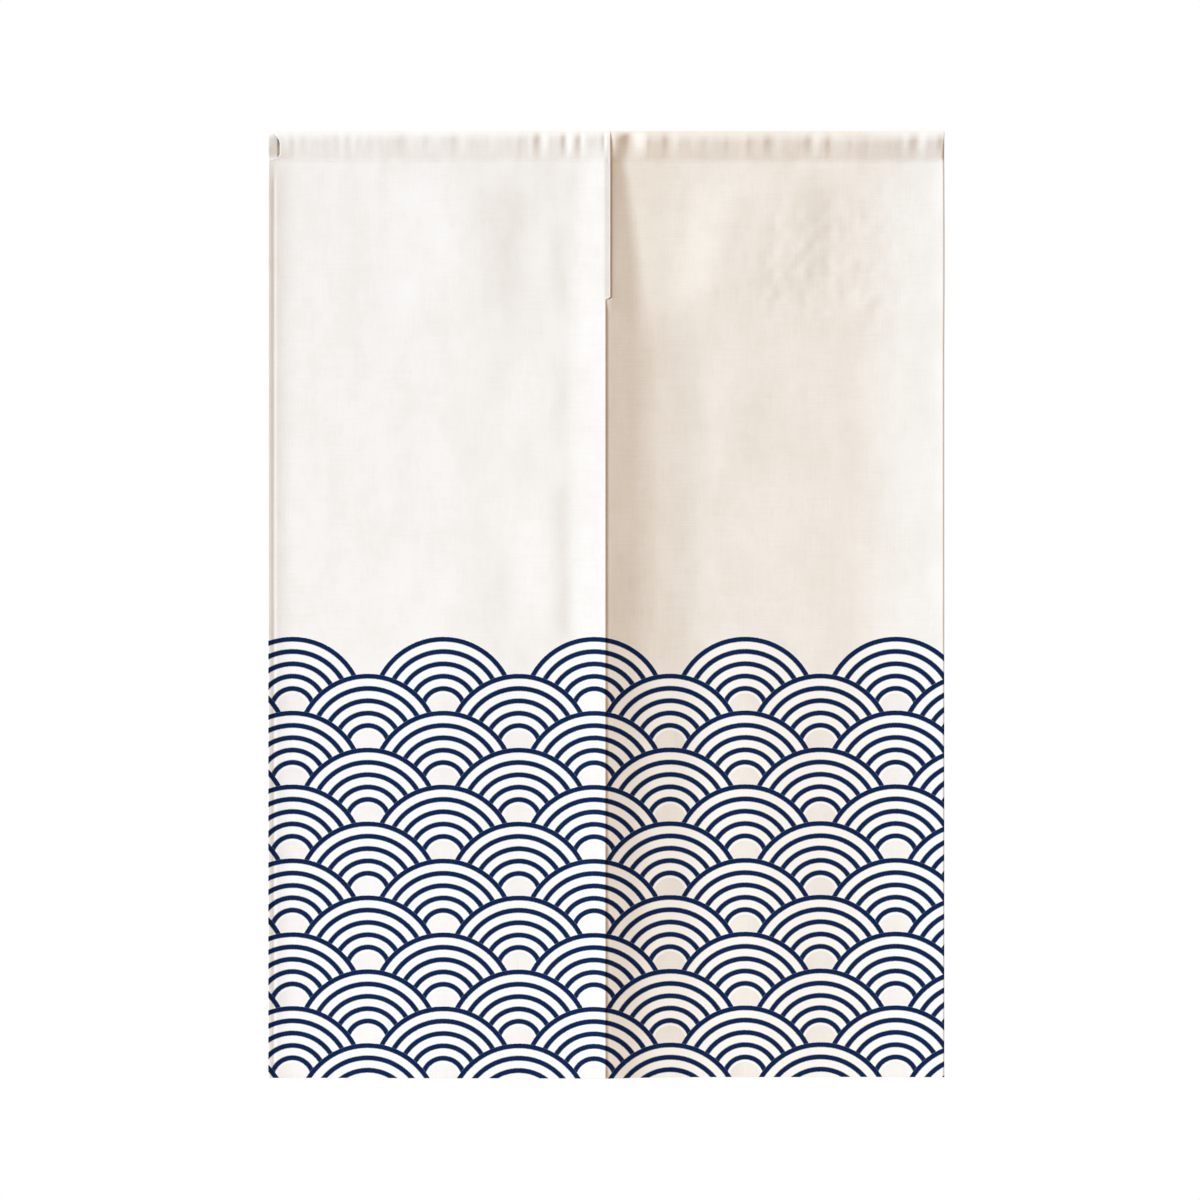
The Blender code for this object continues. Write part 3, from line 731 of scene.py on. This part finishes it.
def stitches(name, rows):
    """Each stitch is a small arch with four sides: it rises out of the cloth, runs level and goes back in."""
    place, along, off = (part[:, None, None] for part in np.concatenate(rows, axis=1))
    aside = np.cross(along, off)
    run = STITCH * np.array([-0.5, -0.25, 0.25, 0.5])[None, :, None, None]
    rise = THREAD_RADIUS * np.array([-0.9, 0.5, 0.5, -0.9])[None, :, None, None]
    radius = THREAD_RADIUS * np.array([0.7, 1.0, 1.0, 0.7])[None, :, None, None]
    round_it = (np.arange(4) + 0.5)[None, None, :, None] * math.pi / 2
    middle = place + run * along + rise * off
    points = middle + radius * (np.sin(round_it) * off + np.cos(round_it) * aside)
    ring, side = np.meshgrid(np.arange(3) * 4, np.arange(4), indexing="ij")
    beside = (side + 1) % 4
    arch = np.stack([ring + side, ring + 4 + side, ring + 4 + beside, ring + beside], axis=2).reshape(-1, 4)
    arch = np.concatenate([arch, [[0, 1, 2, 3], [15, 14, 13, 12]]])
    quads = (arch[None] + 16 * np.arange(len(points))[:, None, None]).reshape(-1, 4)
    mesh = bpy.data.meshes.new(name)
    mesh.from_pydata(points.reshape(-1, 3), [], quads)
    mesh.update()
    mesh.shade_smooth()
    mesh.materials.append(cotton_thread)
    piece = bpy.data.objects.new(name, mesh)
    bpy.context.scene.collection.objects.link(piece)
    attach(piece, "root")
    return piece


def sewn_rows(low, high, front, inner_edge, outer_x):
    """The rows of one cloth: its sleeve on the front and the back, its two side hems and its foot hem."""
    x = np.arange(low + 0.003, high - 0.002, STITCH_PITCH)
    at_top = shifted(x, np.abs(x - (high if outer_x < 0 else low)), inner_edge(POCKET_DROP))
    stack = CLOTH + LAYER * (1.0 + 2.0 * side_hem(x, low, high))
    back_row = stitch_row(front, at_top, np.full_like(x, POCKET_DROP), stack, False)
    back_row[0, :, 2] += POCKET_DROP - SLEEVE_ROW
    rows = [
        stitch_row(front, at_top, np.full_like(x, SLEEVE_ROW), 0.0 * x, False),
        back_row,
        stitch_row(front, x, np.full_like(x, FOOT_ROW), stack, False),
    ]
    drop = np.arange(POCKET_DROP + POCKET_EDGE + 0.004, FOOT_ROW - 0.004, STITCH_PITCH)
    behind = np.full_like(drop, CLOTH + LAYER)
    for edge, inward in ((low, 1.0), (high, -1.0)):
        shift = 0.0 * drop if edge == outer_x else inner_edge(drop)
        hem_x = shifted(edge + inward * HEM_ROW, HEM_ROW, shift)
        rows.append(stitch_row(front, hem_x, drop, behind, True))
    return rows


cotton_thread = bpy.data.materials.new("cotton_thread")
cotton_thread.use_nodes = True
tree = cotton_thread.node_tree
sums = Sums(tree)
shader = tree.nodes["Principled BSDF"]
where = tree.nodes.new("ShaderNodeTexCoord").outputs["Object"]
fibres = tree.nodes.new("ShaderNodeTexNoise")
fibres.inputs["Scale"].default_value = 2600.0
tree.links.new(where, fibres.inputs["Vector"])
lengths = tree.nodes.new("ShaderNodeTexNoise")
lengths.inputs["Scale"].default_value = 180.0
tree.links.new(where, lengths.inputs["Vector"])
fuzz = sums.of("MULTIPLY", fibres.outputs["Fac"], 0.5)
worn = sums.of("ADD", fuzz, sums.of("MULTIPLY", lengths.outputs["Fac"], 0.7))
tree.links.new(sums.mix(worn, (0.87, 0.83, 0.77, 1.0), (0.74, 0.68, 0.59, 1.0)), shader.inputs["Base Color"])
twist = tree.nodes.new("ShaderNodeBump")
twist.inputs["Strength"].default_value = 0.5
twist.inputs["Distance"].default_value = 0.00005
tree.links.new(fibres.outputs["Fac"], twist.inputs["Height"])
tree.links.new(twist.outputs[0], shader.inputs["Normal"])
shader.inputs["Roughness"].default_value = 0.75
shader.inputs["Specular IOR Level"].default_value = 0.2

seam_drop = np.arange(POCKET_DROP + 0.004, SEAM_DROP - SEAM_END - 0.001, STITCH_PITCH)
seam_x = np.full_like(seam_drop, SEAM_ROW)
thread_left = stitches("thread_left", [
    *sewn_rows(-WIDTH / 2, SEAM_X, left_front, left_inner_edge, -WIDTH / 2),
    stitch_row(left_front, seam_x, seam_drop, 0.0 * seam_drop, True),
])
thread_right = stitches("thread_right", [
    *sewn_rows(SEAM_X - LAP, WIDTH / 2, right_front, no_shift, WIDTH / 2),
    stitch_row(right_front, seam_x, seam_drop, np.full_like(seam_drop, CLOTH + LAYER), True),
])

# The place it is seen in: a pale floor below the curtain's foot, a white studio, a wide soft light from the
# left, a weak warm light all round, and a camera far off that looks square on at the curtain.
MM_A_PIXEL = 1.2568
PICTURE = 1200  # pixels each way
CURTAIN_MIDDLE = 606.65  # pixels from the picture's left
CURTAIN_TOP = 131.0  # pixels from the picture's top
VIEW_X = (PICTURE / 2 - CURTAIN_MIDDLE) * MM_A_PIXEL / 1000
VIEW_DROP = (PICTURE / 2 - CURTAIN_TOP) * MM_A_PIXEL / 1000
VIEW_WIDTH = PICTURE * MM_A_PIXEL / 1000
VIEW_DISTANCE = 6.0
FLOOR_RADIUS = 1.4
FLOOR_DROP = LENGTH + 0.75

turn = np.linspace(0.0, 2.0 * math.pi, 97)[:-1]
round_floor = [FLOOR_RADIUS * np.cos(turn), FLOOR_RADIUS * np.sin(turn), np.full_like(turn, -FLOOR_DROP)]
ring = np.stack(round_floor, axis=1)
mesh = bpy.data.meshes.new("floor")
mesh.from_pydata(ring, [], [list(range(len(ring)))])
floor = bpy.data.objects.new("floor", mesh)
bpy.context.scene.collection.objects.link(floor)
plaster = bpy.data.materials.new("pale_plaster")
plaster.use_nodes = True
plaster.node_tree.nodes["Principled BSDF"].inputs["Base Color"].default_value = (0.80, 0.79, 0.77, 1.0)
plaster.node_tree.nodes["Principled BSDF"].inputs["Roughness"].default_value = 0.8
mesh.materials.append(plaster)

world = bpy.data.worlds.new("white_studio")
bpy.context.scene.world = world
world.use_nodes = True
tree = world.node_tree
tree.nodes["Background"].inputs["Color"].default_value = (1.0, 0.745, 0.55, 1.0)
tree.nodes["Background"].inputs["Strength"].default_value = 0.520
seen = tree.nodes.new("ShaderNodeBackground")
seen.inputs["Color"].default_value = (1.0, 1.0, 1.0, 1.0)
seen.inputs["Strength"].default_value = 1.0
path = tree.nodes.new("ShaderNodeLightPath")
either = tree.nodes.new("ShaderNodeMixShader")
tree.links.new(path.outputs["Is Camera Ray"], either.inputs[0])
tree.links.new(tree.nodes["Background"].outputs[0], either.inputs[1])
tree.links.new(seen.outputs[0], either.inputs[2])
tree.links.new(either.outputs[0], tree.nodes["World Output"].inputs["Surface"])


def studio_light(name, azimuth, elevation, strength, colour, softness):
    """A far, soft light from an azimuth, 0 in front of the curtain and 90 at its left, and an elevation."""
    lamp = bpy.data.lights.new(name, "SUN")
    lamp.energy, lamp.color, lamp.angle = strength, colour, math.radians(softness)
    placed = bpy.data.objects.new(name, lamp)
    placed.rotation_euler = (math.radians(90.0 - elevation), 0.0, math.radians(-azimuth))
    bpy.context.scene.collection.objects.link(placed)


studio_light("key_light", 58.0, 10.0, 4.42, (0.686, 0.860, 1.0), 26.0)
studio_light("top_light", 180.0, 78.0, 0.9, (1.0, 1.0, 1.0), 20.0)
studio_light("back_light", 150.0, 30.0, 1.6, (1.0, 1.0, 1.0), 30.0)

lens = bpy.data.cameras.new("camera")
lens.sensor_width = 36.0
lens.lens = lens.sensor_width * VIEW_DISTANCE / VIEW_WIDTH
lens.clip_end = 100.0
camera = bpy.data.objects.new("camera", lens)
camera.location = (VIEW_X, -VIEW_DISTANCE, -VIEW_DROP)
camera.rotation_euler = (math.pi / 2, 0.0, 0.0)
bpy.context.scene.collection.objects.link(camera)
bpy.context.scene.camera = camera
bpy.context.scene.view_settings.view_transform = "Standard"
